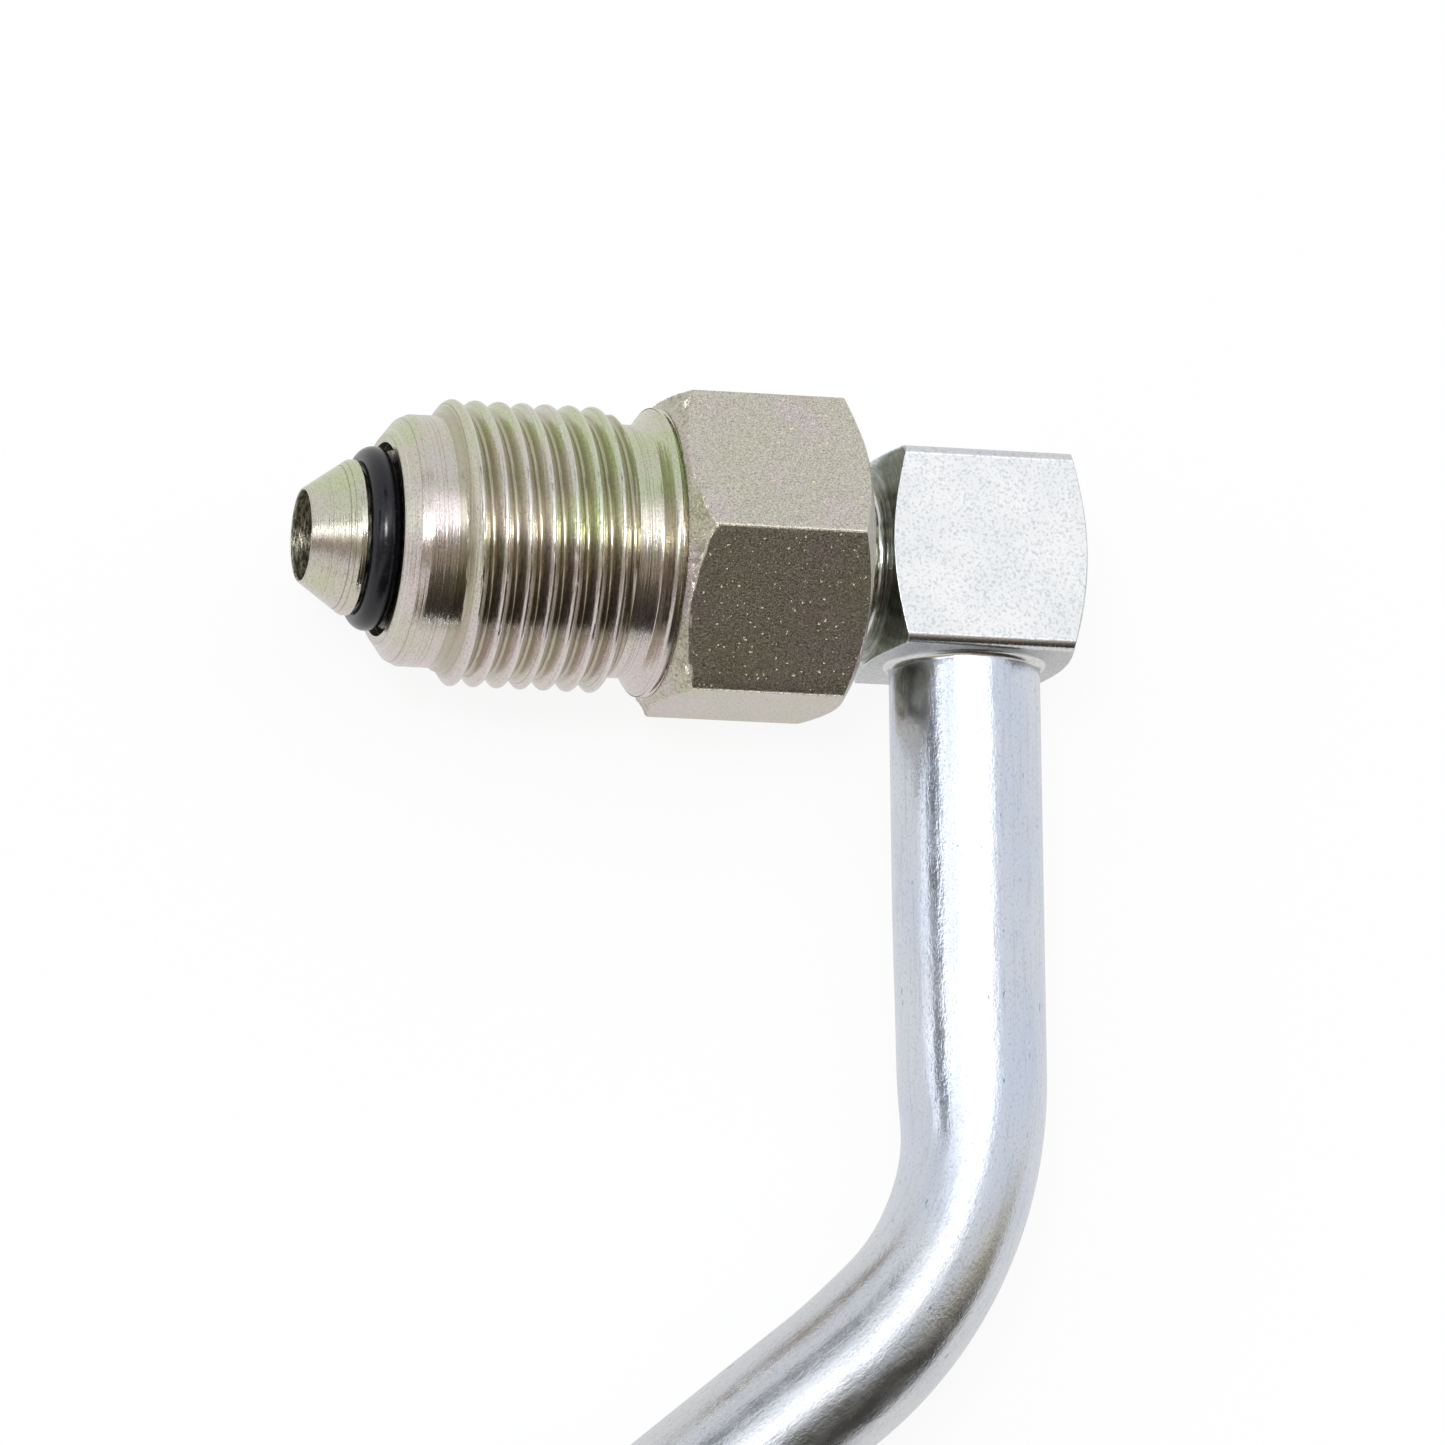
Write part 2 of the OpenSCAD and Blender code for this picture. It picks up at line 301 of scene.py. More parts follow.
def turned_zinc(name, pitch, depth, smooth=0.13, shade_split_r=0.0):
    """Turned steel under passivated zinc: rings of tool marks, each with its own tilt and shine,
    and a fine grain from the plating. Given a radius last, the thread roots below it are painted
    brown as painted shade, and the crests above it are painted pale as a painted highlight."""
    mark_brown, root_shade_brown = (0.34, 0.30, 0.22), (0.40, 0.36, 0.24)
    dust_dark, dust_pale = (0.30, 0.27, 0.2), (0.9, 0.88, 0.8)
    material, shader, place = metal(name)
    along = add(material, "SeparateXYZ", {"Vector": place}).outputs[0]
    marks = rings(material, along, pitch)
    broad = rings(material, along, pitch * 5, 2)
    grain = blotches(material, place, 0.05, 2)
    long_grain = blotches(material, place, 0.35, 3, 0.6, (4, 0.6, 0.6))
    colour = passivated(material, place, 5)
    colour = tinted(material, spread(material, marks, 0.56, 0.74, 0, 0.8), colour, mark_brown)
    colour = tinted(material, spread(material, broad, 0.6, 0.75, 0, 0.5), colour, pale_zinc_and_highlight)
    dusty = blotches(material, place, 0.16, 2, 0.7, (1.6, 1, 1))
    colour = tinted(material, spread(material, dusty, 0.52, 0.7, 0, 0.5), colour, dust_dark)
    colour = tinted(material, spread(material, dusty, 0.46, 0.3, 0, 0.4), colour, dust_pale)
    # Painted shade in the thread roots and a painted highlight on the crests, set by distance from
    # the axis.
    if shade_split_r:
        out = from_axis(material, place)
        low = spread(material, out, (shade_split_r + 0.2) * mm, (shade_split_r - 0.2) * mm, 0, 0.6)
        colour = tinted(material, low, colour, root_shade_brown)
        high = spread(material, out, (shade_split_r + 0.42) * mm, (shade_split_r + 0.56) * mm, 0, 0.8)
        colour = tinted(material, high, colour, pale_zinc_and_highlight)
    rough = sums(material, "ADD", spread(material, long_grain, 0.3, 0.7, smooth, smooth + 0.1),
                 spread(material, marks, 0.5, 0.8, 0, 0.12))
    finish(material, shader, colour, rough,
           [(marks, depth), (long_grain, depth * 0.7), (grain, 0.0012)])
    return material


nipple_rim_r = 2.95
nipple_bore_r = 2.8
cone_x, cone_r = 2.75, 4.85
groove_x, groove_r = 3.15, 3.85
collar_x, collar_r, collar_back_x = 5.45, 5.6, 6.65
shank_r = 4.7
block_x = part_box("elbow_block")[0].x / mm
spigot_r, spigot_x = 4.05, block_x + 1.2
nipple_profile = rounded_loop(
    [(0, nipple_bore_r + 0.06, 0.02), (0, nipple_rim_r, 0.03), (cone_x, cone_r, 0.08),
     (groove_x, cone_r, 0.06), (groove_x, groove_r, 0.1), (collar_x, groove_r, 0.1),
     (collar_x, collar_r, 0.1), (collar_back_x, collar_r, 0.1), (collar_back_x, shank_r, 0.15),
     (block_x, shank_r, 0.05), (block_x, spigot_r, 0.05), (spigot_x, spigot_r, 0.2),
     (spigot_x, nipple_bore_r, 0.1), (0.1, nipple_bore_r, 0.02)], 0.18)
nipple_along, nipple_out = nipple_profile[:, :1], nipple_profile[:, 1:]
nipple_angles = round_angles(180)
outside = nipple_out > nipple_bore_r + 0.01
tool_marks = np.where(outside, 0.0022 * waves(nipple_along, 0.3, 3), 0)
drill_pitch = 0.55
drill_line = nipple_along / drill_pitch + nipple_angles / (2 * math.pi)
drill_marks = np.where(outside, 0, 0.025 * waves(drill_line, 1.3, 5, 10))


def shaded_drilled_steel(name):
    """Steel in the bores and in the gaps behind the O-ring, painted dark brown as painted shade,
    and scored round and round by the drill, with pale scratches painted as glints."""
    painted_shade_dark, painted_glint_pale = (0.10, 0.09, 0.06), (0.62, 0.58, 0.46)
    material, shader, place = metal(name)
    scores = blotches(material, place, 0.35, 4, 0.7, (2.6, 0.45, 0.45))
    grain = blotches(material, place, 0.1, 2)
    colour = tinted(material, spread(material, scores, 0.4, 0.62), painted_shade_dark, painted_glint_pale)
    finish(material, shader, colour, spread(material, grain, 0.3, 0.7, 0.25, 0.5),
           [(scores, 0.06), (grain, 0.004)])
    return material


# Past the cone, the nipple takes the dark steel: painted shade in the gap behind the O-ring and in
# the bore.
cone_outside = outside[:, 0] & (nipple_along[:, 0] < cone_x + 0.2)
nipple_rows = np.where(cone_outside, 0, 1)
piece("nose_nipple_turned", turned(nipple_along, nipple_out + tool_marks + drill_marks,
                                   nipple_angles),
      "hose_end", ["nose_nipple"],
      [turned_zinc("zinc_nose_turned", 0.16, 0.024, 0.12),
       shaded_drilled_steel("steel_bore_painted_shade")], nipple_rows)

# ---- O-ring ----------------------------------------------------------------------------------
# A moulded rubber ring, stretched over the cone into the groove behind it.
# It stands a little proud of the cone and seals in the port's bore.
ring_low, ring_high = (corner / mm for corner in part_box("nose_o_ring"))
ring_section_r = (ring_high.x - ring_low.x) / 2
ring_centre_r = ring_high.y - ring_section_r
ring_turn = round_angles(40)[:, None]
rubber_dark, rubber_dusty = (0.005, 0.005, 0.008), (0.02, 0.02, 0.028)
rubber, rubber_shader, rubber_place = metal("rubber_black")
rubber_shader.inputs["Metallic"].default_value = 0
rubber_shader.inputs["IOR"].default_value = 1.46
rubber_dust = blotches(rubber, rubber_place, 0.25, 4, 0.65)
finish(rubber, rubber_shader,
       tinted(rubber, spread(rubber, rubber_dust, 0.5, 0.8), rubber_dark, rubber_dusty),
       spread(rubber, rubber_dust, 0.3, 0.7, 0.14, 0.26),
       [(rubber_dust, 0.006), (blotches(rubber, rubber_place, 0.06), 0.002)])
piece("nose_o_ring_rubber",
      turned(ring_low.x + ring_section_r + ring_section_r * np.cos(ring_turn),
             ring_centre_r + ring_section_r * np.sin(ring_turn), round_angles(192)),
      "hose_end", ["nose_o_ring"], [rubber])

# ---- Swivel nut ------------------------------------------------------------------------------
# A male nut turned from hexagon bar: chamfered lead, M18x1.5 right-hand thread, relief groove,
# rounded collar, and the hexagon with a torn chamfer in front and a smooth one behind.
# It is bored to turn on the nipple's shank, and its mouth is opened for the O-ring and collar.
nut_front_x, nut_rim_r = 5.05, 6.5
slope_x, slope_fall = 5.9, 0.27
lead_x, lead_r = 6.5, 7.85
crest_r, thread_pitch, thread_depth = 8.95, 1.5, 0.83
first_crest_x, thread_start_x = 9.1, 8.15
relief_x, relief_r = 19.72, 7.93
shoulder_x, shoulder_r = 21.2, 9.05
hex_x = 22.45
hex_back_x, hex_back_r = 34.45, 9.2
hex_flat_r, hex_edge_r = 9.5, 0.3
hex_roll, hex_roll_width = 0.05, 1.2
hex_front_lean, hex_back_lean = math.radians(34), math.radians(30.6)
hex_turn = math.radians(-3.1)
nut_bore_r, nut_mouth_r, nut_floor_x = 4.78, 6.05, 7.05


def bar_radius(angles, sides, flat_r, edge_r):
    """Distance from the axis of a bar's outline at each angle, where angle 0 is on a corner.
    It is flat_r / cos(angle from the flat's middle) on a flat, and at a corner it is where the
    ray meets the corner's circle of radius edge_r."""
    half = math.pi / sides
    from_flat = np.abs((angles % (2 * half)) - half)
    from_corner = half - from_flat
    centre = (flat_r - edge_r) / math.cos(half)
    touch = math.atan((flat_r - edge_r) * math.tan(half) / flat_r)
    inside = np.maximum(edge_r ** 2 - (centre * np.sin(from_corner)) ** 2, 0)
    corner = centre * np.cos(from_corner) + np.sqrt(inside)
    return np.where(from_flat < touch, flat_r / np.cos(from_flat), corner)


def bar_angles(sides, flat_r, edge_r, on_flat, on_corner):
    """Angles round a bar, angle 0 on a corner: on_flat steps across each flat and on_corner
    steps round each corner."""
    half = math.pi / sides
    corner = half - math.atan((flat_r - edge_r) * math.tan(half) / flat_r)
    round_corner = np.linspace(-corner, corner, on_corner, endpoint=False)
    across_flat = np.linspace(corner, 2 * half - corner, on_flat, endpoint=False)
    one_side = np.concatenate([round_corner, across_flat])
    return (one_side[None] + 2 * half * np.arange(sides)[:, None]).ravel()


def lesser(a, b, blend):
    """The smaller of two values, with the crease between them rounded over blend."""
    near = np.maximum(blend - np.abs(a - b), 0) / blend
    return np.minimum(a, b) - near * near * blend / 4


def crowded(start, middle, end, count, near, extra=9):
    """Rows from start to end with extra rows within near of the crease at middle."""
    share = np.linspace(0, 1, count)[:, None]
    close = np.linspace(-near, near, extra)[:, None]
    return np.concatenate([start + (middle - near - start) * share[:-1], middle + close,
                           middle + near + (end - middle - near) * share[1:]])


nut_flat_steps, nut_corner_steps = 32, 8
nut_angles = bar_angles(6, hex_flat_r, hex_edge_r, nut_flat_steps, nut_corner_steps)
hex_r = bar_radius(nut_angles, 6, hex_flat_r, hex_edge_r)
past_corner = hex_flat_r * np.tan(nut_angles % (math.pi / 3) - math.pi / 6)
past_corner = past_corner + hex_flat_r * math.tan(math.pi / 6)
hex_r = hex_r - hex_roll * np.maximum(1 - past_corner / hex_roll_width, 0) ** 2
turn = nut_angles + hex_turn

front = rounded_loop([(nut_front_x, nut_mouth_r, 0), (nut_front_x, nut_rim_r, 0.05),
                      (slope_x, lead_r - slope_fall, 0.1), (lead_x, lead_r, 0.05),
                      (thread_start_x, lead_r, 0)], 0.1)
front = front[: np.argmax(front[:, 0]) + 1]
front_along = front[:, :1] * np.ones_like(turn)
front_out = front[:, 1:] + 0.0025 * waves(front[:, :1], 0.35, 7)

row_step = 0.075
thread_along = np.arange(thread_start_x + 0.06, relief_x, row_step)[:, None]
crest_offset = thread_along - first_crest_x - thread_pitch * (math.pi / 2 - turn) / (2 * math.pi)
from_crest = np.abs((crest_offset / thread_pitch + 0.5) % 1 - 0.5) * thread_pitch
crest_round, flank_slope = 0.14, 1.6
flank = flank_slope * (np.sqrt(from_crest ** 2 + crest_round ** 2) - crest_round)
flank = lesser(flank, thread_depth, 0.12)
thread_begin = thread_start_x + 0.4 - 0.42 * np.cos(turn - math.radians(110))
blank_in = lead_r + 1.5 * np.maximum(thread_along - thread_begin, 0)
blank_out = relief_r + (relief_x - thread_along) * 1.4
blank_r = lesser(lesser(crest_r, blank_in, 0.1), blank_out, 0.2)
nicks = waves(turn * crest_r + thread_along * 3, 0.8, 11) * waves(turn * crest_r, 2.1, 12)
nicks = 0.03 * np.abs(nicks) * np.exp(-(from_crest / 0.16) ** 2)
thread_out = lesser(crest_r - flank - nicks, blank_r, 0.08)
thread_out = thread_out + 0.0022 * waves(thread_along, 0.3, 13)

collar = rounded_loop([(relief_x, relief_r - 1, 0), (relief_x, relief_r, 0),
                       (shoulder_x, relief_r, 0.2), (shoulder_x + 0.65, shoulder_r, 0.5),
                       (hex_x - 0.42, shoulder_r, 0.15), (hex_x - 0.34, shoulder_r - 0.32, 0.02),
                       (hex_x - 0.16, shoulder_r - 0.22, 0.02), (hex_x, shoulder_r - 0.02, 0),
                       (hex_x, relief_r - 1, 0)], 0.12)
collar = collar[(collar[:, 1] > relief_r - 0.01)]
collar_along = collar[:, :1] * np.ones_like(turn)
collar_out = collar[:, 1:] + 0.004 * waves(collar[:, :1], 0.28, 17)

front_crease = hex_x + (hex_r - shoulder_r) * math.tan(hex_front_lean)
back_crease = hex_back_x - (hex_r - hex_back_r) * math.tan(hex_back_lean)
middle_x = (hex_x + hex_back_x) / 2
front_rows = crowded(hex_x + 0.02, front_crease, middle_x, 8, 0.3, 17)
back_rows = crowded(middle_x, back_crease, hex_back_x, 12, 0.12)
hex_along = np.concatenate([front_rows, back_rows[1:]])
tears = waves(turn * 9.5 + 0.4 * hex_along, 0.55, 19) * (0.6 + 0.4 * waves(turn * 9.5, 3.0, 20, 8))
chatter = waves(hex_along + 0.1 * waves(turn * 9.5, 2.0, 21, 8), 0.3, 24)
torn = (0.22 * tears + 0.03 * chatter) * np.clip((hex_along - hex_x) / 0.5, 0, 1)
front_cone = shoulder_r + (hex_along - hex_x) / math.tan(hex_front_lean) + torn
back_cone = hex_back_r + (hex_back_x - hex_along) / math.tan(hex_back_lean)
hex_out = lesser(lesser(hex_r, front_cone, 0.1), back_cone, 0.1)
on_hexagon = np.where(front_cone < hex_r + 0.03, 2, 1)

inside = rounded_loop([(hex_back_x, hex_back_r, 0.05), (hex_back_x, nut_bore_r + 0.25, 0.05),
                       (hex_back_x - 0.25, nut_bore_r, 0.05), (nut_floor_x, nut_bore_r, 0.05),
                       (nut_floor_x, nut_mouth_r, 0.1), (nut_front_x, nut_mouth_r, 0.03)], 2.5)
inside = inside[: np.argmin(inside[:, 0]) + 1]
inside_along = inside[:, :1] * np.ones_like(turn)
inside_out = inside[:, 1:] * np.ones_like(turn)

nut_parts = [(front_along, front_out, 0), (thread_along * np.ones_like(turn), thread_out, 3),
             (collar_along, collar_out, 0), (hex_along, hex_out, on_hexagon),
             (inside_along, inside_out, 4)]
nut_along = np.concatenate([part[0] for part in nut_parts])
nut_out = np.concatenate([part[1] * np.ones_like(turn) for part in nut_parts])
nut_rows = np.concatenate([part[2] * np.ones(part[0].shape, int) for part in nut_parts])


def grained_zinc(name):
    """Drawn hexagon bar under passivated zinc: flats with an even fine grain, pale specks that
    stand proud of the plate, and drifts of straw, green and pink."""
    grain_dark, grain_pale, speck_pale = (0.34, 0.29, 0.22), (0.89, 0.84, 0.75), (0.95, 0.88, 0.66)
    material, shader, place = metal(name)
    grain = blotches(material, place, 0.1, 2, 0.6)
    fine = blotches(material, place, 0.05, 1)
    speck_noise = blotches(material, place, 0.24, 1)
    specks = spread(material, speck_noise, 0.7, 0.745)
    colour = passivated(material, place, 4, 0.2, 3.0)
    colour = tinted(material, spread(material, grain, 0.5, 0.36, 0, 0.75), colour, grain_dark)
    colour = tinted(material, spread(material, grain, 0.53, 0.66, 0, 0.75), colour, grain_pale)
    colour = tinted(material, specks, colour, speck_pale)
    rough = sums(material, "ADD", spread(material, grain, 0.3, 0.7, 0.28, 0.4),
                 sums(material, "MULTIPLY", specks, 0.6))
    finish(material, shader, colour, rough, [(grain, 0.015), (fine, 0.003), (speck_noise, 0.012)])
    return material


def torn_zinc(name):
    """A chamfer that a blunt tool has torn rather than cut, under passivated zinc: radial tears
    whose roots are painted dark as painted shade and whose crests are painted pale as a painted
    highlight."""
    tear_root_shade = (0.40, 0.36, 0.27)
    material, shader, place = metal(name)
    tears = blotches(material, place, 0.45, 4, 0.75, (0.8, 2.2, 2.2))
    grain = blotches(material, place, 0.09, 2, 0.6)
    # Painted shade in the tear roots and a painted highlight on their crests.
    colour = tinted(material, spread(material, tears, 0.36, 0.52), tear_root_shade,
                    passivated(material, place, 3, 0.4, 8.0))
    colour = tinted(material, spread(material, tears, 0.6, 0.7), colour, pale_zinc_and_highlight)
    rough = spread(material, tears, 0.3, 0.7, 0.4, 0.2)
    finish(material, shader, colour, rough, [(tears, 0.06), (grain, 0.006)])
    return material


# Inside the nut, the dark steel is painted shade that keeps the gap behind the O-ring dark. On the
# thread, the roots are painted brown as shade and the crests are painted pale as a highlight.
piece("swivel_nut_steel", turned(nut_along, nut_out, turn), "nut", ["swivel_nut"],
      [turned_zinc("zinc_nut_turned", 0.14, 0.018), grained_zinc("zinc_nut_flats"),
       torn_zinc("zinc_nut_chamfer"), turned_zinc("zinc_nut_thread", 0.11, 0.009, 0.13, 8.42),
       shaded_drilled_steel("steel_nut_painted_shade")],
      nut_rows)

# ---- Elbow block -----------------------------------------------------------------------------
# A short length of square bar. Both ends are turned to a shallow cone, which leaves a round face
# and four pointed corners, and its front is bored for the nipple's spigot. It is brazed, then
# zinc plated bright, which leaves a fine speckle on its flats.
block_back_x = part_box("elbow_block")[1].x / mm
block_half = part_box("elbow_block")[1].y / mm
block_edge_r, block_face_r, block_lean = 0.62, 6.2, math.radians(20)
block_flat_steps, block_corner_steps = 36, 14
block_angles = bar_angles(4, block_half, block_edge_r, block_flat_steps, block_corner_steps)
block_r = bar_radius(block_angles, 4, block_half, block_edge_r)
block_turn = block_angles + math.pi / 4
block_middle_x = (block_x + block_back_x) / 2
block_crease = (np.maximum(block_r, block_face_r + 0.02) - block_face_r) * math.tan(block_lean)
half_along = crowded(block_x + 0.04, block_x + 0.04 + block_crease, block_middle_x, 12, 0.04)
half_cone = block_face_r + (half_along - block_x) / math.tan(block_lean)
half_out = lesser(block_r, half_cone, 0.14)
face_along = np.linspace(block_x, block_x + 0.02, 40)[:, None] * np.ones_like(block_turn)
face_out = np.linspace(spigot_r + 0.05, block_face_r, 40)[:, None] * np.ones_like(block_turn)
face_along = face_along + 0.006 * waves(face_out, 0.4, 29)
bore_out = np.full((3, len(block_turn)), spigot_r + 0.05)
bore_along = np.array([block_x + 1.2, block_x + 0.6, block_x + 0.1])[:, None]
bore_along = bore_along * np.ones_like(block_turn)
back_face_out = np.linspace(block_face_r, 0.1, 60)[:, None] * np.ones_like(block_turn)
back_face_along = block_back_x - 0.004 * np.abs(waves(back_face_out, 0.45, 31))
block_along = np.concatenate([bore_along, face_along, half_along,
                              (block_x + block_back_x - half_along)[::-1][1:], back_face_along])
block_out = np.concatenate([bore_out, face_out, half_out, half_out[::-1][1:], back_face_out])


def bright_zinc(name, speckle_mm, speckle, smooth):
    """Bright zinc plate: white, with a speckle of small grey pits and soft cloudy drifts. speckle
    is how strongly the pits show, and smooth is the roughness between them."""
    zinc_white, zinc_grey, pit_grey = (0.79, 0.78, 0.765), (0.75, 0.75, 0.745), (0.50, 0.54, 0.60)
    material, shader, place = metal(name)
    cloud = blotches(material, place, 3.5, 2)
    pits = blotches(material, place, speckle_mm, 3, 0.6)
    grain = blotches(material, place, 0.05, 2, 0.6)
    colour = tinted(material, spread(material, cloud, 0.3, 0.7), zinc_white, zinc_grey)
    dark = sums(material, "MULTIPLY", spread(material, pits, 0.47, 0.68), speckle)
    colour = tinted(material, dark, colour, pit_grey)
    rough = sums(material, "ADD", spread(material, cloud, 0.3, 0.7, smooth, smooth + 0.04),
                 sums(material, "MULTIPLY", dark, 0.15))
    finish(material, shader, colour, rough, [(pits, 0.012), (grain, 0.002)])
    return material


def faced_zinc(name):
    """A face turned in the lathe, under bright zinc: shiny rings about the nose axis, some of
    them stained blue-green."""
    face_pale, face_stain, ring_dark = (0.70, 0.74, 0.74), (0.50, 0.60, 0.60), (0.24, 0.27, 0.26)
    material, shader, place = metal(name)
    out = from_axis(material, place)
    marks = rings(material, out, 0.22)
    stain = blotches(material, place, 2.2, 2)
    colour = tinted(material, spread(material, stain, 0.42, 0.6), face_pale, face_stain)
    colour = tinted(material, spread(material, marks, 0.55, 0.7, 0, 0.6), colour, ring_dark)
    finish(material, shader, colour, spread(material, marks, 0.3, 0.7, 0.14, 0.26),
           [(marks, 0.02)])
    return material


cone_rows = 16
flat_rows = 2 * len(half_along) - 1 - 2 * cone_rows
block_rows = [1] * (len(bore_along) + len(face_along) + cone_rows) + [0] * flat_rows
block_rows += [1] * (cone_rows + len(back_face_along))
block_rows = np.array(block_rows)[:, None]
on_edge = np.tile([1] * block_corner_steps + [0] * block_flat_steps, 4)
block_rows = np.where((block_rows == 0) & (on_edge == 1), 2, block_rows)
piece("elbow_block_steel", turned(block_along, block_out, block_turn), "hose_end",
      ["elbow_block"],
      [bright_zinc("zinc_block_bright", 0.2, 0.65, 0.5), faced_zinc("zinc_block_faced"),
       bright_zinc("zinc_block_edges", 0.2, 0.65, 0.18)],
      block_rows, poles=True)

# ---- Fillets of brazing alloy ----------------------------------------------------------------
# Where the shank and the tube enter the block, a little alloy has run out and frozen as a hollow
# fillet. It was plated with the rest. Its edge wanders, as molten metal leaves it.


def fillet(shaft_r, leg, angles, seed):
    """Profile rows of a hollow fillet round a shaft: from the shaft's side, leg away from the
    face, down a quarter circle to the face, leg away from the shaft, and back inside both."""
    reach = leg * (1 + 0.12 * waves(angles * shaft_r, 5.0, seed, 8))
    sweep = np.linspace(0, math.pi / 2, 12)[:, None]
    along = -reach * (1 - np.sin(sweep))
    out = shaft_r + reach * (1 - np.cos(sweep))
    along = np.concatenate([along, 0 * reach[None] + 0.05, 0 * reach[None] + 0.05])
    out = np.concatenate([out, shaft_r + reach[None], 0 * reach[None] + shaft_r - 0.06])
    return along, out


fillet_leg = 0.4
alloy_angles = round_angles(192)
alloy_metal = bright_zinc("zinc_over_alloy", 0.3, 0.3, 0.18)
shank_fillet_along, shank_fillet_out = fillet(shank_r, fillet_leg, alloy_angles, 37)
piece("nipple_fillet", turned(block_x + shank_fillet_along, shank_fillet_out, alloy_angles),
      "hose_end", ["nipple_braze"], [alloy_metal])

tube_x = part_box("tube_braze")[0].x / mm / 2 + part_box("tube_braze")[1].x / mm / 2
tube_r = 9.525 / 2
tube_fillet_along, tube_fillet_out = fillet(tube_r, fillet_leg, alloy_angles, 41)
tube_fillet = turned(tube_fillet_along, tube_fillet_out, alloy_angles)
tube_fillet = np.stack([tube_x + tube_fillet[..., 1], -block_half + tube_fillet[..., 0],
                        tube_fillet[..., 2]], -1)
piece("tube_fillet", tube_fillet, "hose_end", ["tube_braze"], [alloy_metal])

# ---- Bent tube -------------------------------------------------------------------------------
# Drawn steel tube, 9.5 mm across with a wall of 1.2 mm. It runs straight out of the block, is
# bent once on a former, which presses in its inner side, and runs straight into the hose stem.
# It is plated bright, over the fine lines of the drawing die.
tube_wall = 1.245
tube_top_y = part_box("bent_tube")[1].y / mm
bend_y, bend_r, bend_angle = -32.45, 25.4, math.radians(51)
second_run, tube_in_stem = 42.0, 8.0
first_run = tube_top_y - bend_y
bend_len = bend_r * bend_angle
tube_len = first_run + bend_len + second_run + tube_in_stem
bend_middle = np.array([tube_x - bend_r, bend_y])


def tube_path(travel):
    """Centre points and outward side directions along the tube: straight down, then round the
    bend's centre, then straight on."""
    turned_by = np.clip((travel - first_run) / bend_r, 0, bend_angle)
    before = np.minimum(travel, first_run)
    after = np.maximum(travel - first_run - bend_len, 0)
    side = np.stack([np.cos(turned_by), -np.sin(turned_by)], -1)
    ahead = np.stack([-np.sin(turned_by), -np.cos(turned_by)], -1)
    start = np.array([0, tube_top_y - bend_y])
    centre = bend_middle + bend_r * side + start * (1 - before / first_run)[:, None]
    return centre + ahead * after[:, None], side


# How far round the bend, in radians, the inner side begins and stops being pressed in, and over
# what length each change is spread
press_begin, press_begin_soft = 0.135, 0.05
press_end, press_end_soft = 0.6, 0.075


def tube_surface(radius, travel, angles, squeeze):
    """Grid of the tube's skin: at each travel a circle round the centre line. Across the bend
    its inner side is pressed in by squeeze * (sin a)^2, most of all between the two places where
    the pressing begins and stops, with a slight ease just before them."""
    centre, side = tube_path(travel)
    turned_by = (travel - first_run) / bend_r
    bent = 1 / (1 + np.exp((press_begin - turned_by) / press_begin_soft))
    bent = bent / (1 + np.exp((turned_by - press_end) / press_end_soft))
    eased = 0.1 * np.exp(-((turned_by + 0.1) / 0.2) ** 2)
    across = radius * np.sin(angles)
    pressed = squeeze * (bent + eased)[:, None] * np.sin(angles) ** 2 * (across < 0)
    flat = centre[:, None, :] + side[:, None, :] * (across + pressed)[..., None]
    high = radius * np.cos(angles) * np.ones((len(travel), 1))
    return np.concatenate([flat, high[..., None]], -1)


tube_angles = round_angles(144)
travel = np.linspace(0, tube_len, 330)
outer_press, inner_press = 1.08, 0.95
outer_skin = tube_surface(tube_r - 0.004, travel, tube_angles, outer_press)
inner_travel = np.linspace(tube_len, 0, 90)
inner_skin = tube_surface(tube_r - tube_wall, inner_travel, tube_angles, inner_press)

zinc_pale, zinc_blue, bent_grey = (0.75, 0.78, 0.84), (0.70, 0.75, 0.85), (0.72, 0.71, 0.68)
drawn_grey, pit_blue, fleck_dark = (0.52, 0.56, 0.64), (0.45, 0.49, 0.58), (0.32, 0.34, 0.40)
tube_metal, tube_shader, tube_place = metal("zinc_tube_bright")
run = add(tube_metal, "Attribute", attribute_name="along_tube").outputs["Vector"]
drawn = blotches(tube_metal, run, 0.3, 3, 0.6, (1, 1, 0.06))
ripple = blotches(tube_metal, run, 0.9, 4, 0.65, (1, 1, 0.35))
pitting = blotches(tube_metal, run, 0.16, 2, 0.6, (1, 1, 0.7))
fleck_noise = blotches(tube_metal, run, 0.32, 2, 0.6, (1, 1, 0.3))
flecks = spread(tube_metal, fleck_noise, 0.7, 0.75)
far = add(tube_metal, "SeparateXYZ", {"Vector": run}).outputs[2]
# Past the bend, the tube is tinted greyer and made a little rougher.
past_bend = spread(tube_metal, far, first_run * mm, (first_run + bend_len) * mm)
tube_cloud = blotches(tube_metal, tube_place, 6, 3)
tube_colour = tinted(tube_metal, spread(tube_metal, tube_cloud, 0.35, 0.65), zinc_pale, zinc_blue)
tube_colour = tinted(tube_metal, sums(tube_metal, "MULTIPLY", past_bend, 0.6), tube_colour,
                     bent_grey)
tube_colour = tinted(tube_metal, spread(tube_metal, drawn, 0.5, 0.72, 0, 0.4), tube_colour,
                     drawn_grey)
tube_colour = tinted(tube_metal, spread(tube_metal, pitting, 0.52, 0.7, 0, 0.5), tube_colour,
                     pit_blue)
tube_colour = tinted(tube_metal, flecks, tube_colour, fleck_dark)
tube_rough = sums(tube_metal, "ADD", spread(tube_metal, ripple, 0.3, 0.7, 0.16, 0.24),
                  sums(tube_metal, "MULTIPLY", flecks, 0.3))
tube_rough = sums(tube_metal, "ADD", tube_rough, sums(tube_metal, "MULTIPLY", past_bend, 0.06))
finish(tube_metal, tube_shader, tube_colour, tube_rough,
       [(drawn, 0.008), (ripple, 0.035), (pitting, 0.012)])
tube = piece("bent_tube_steel", np.concatenate([outer_skin, inner_skin]), "hose_end",
             ["bent_tube"], [tube_metal])


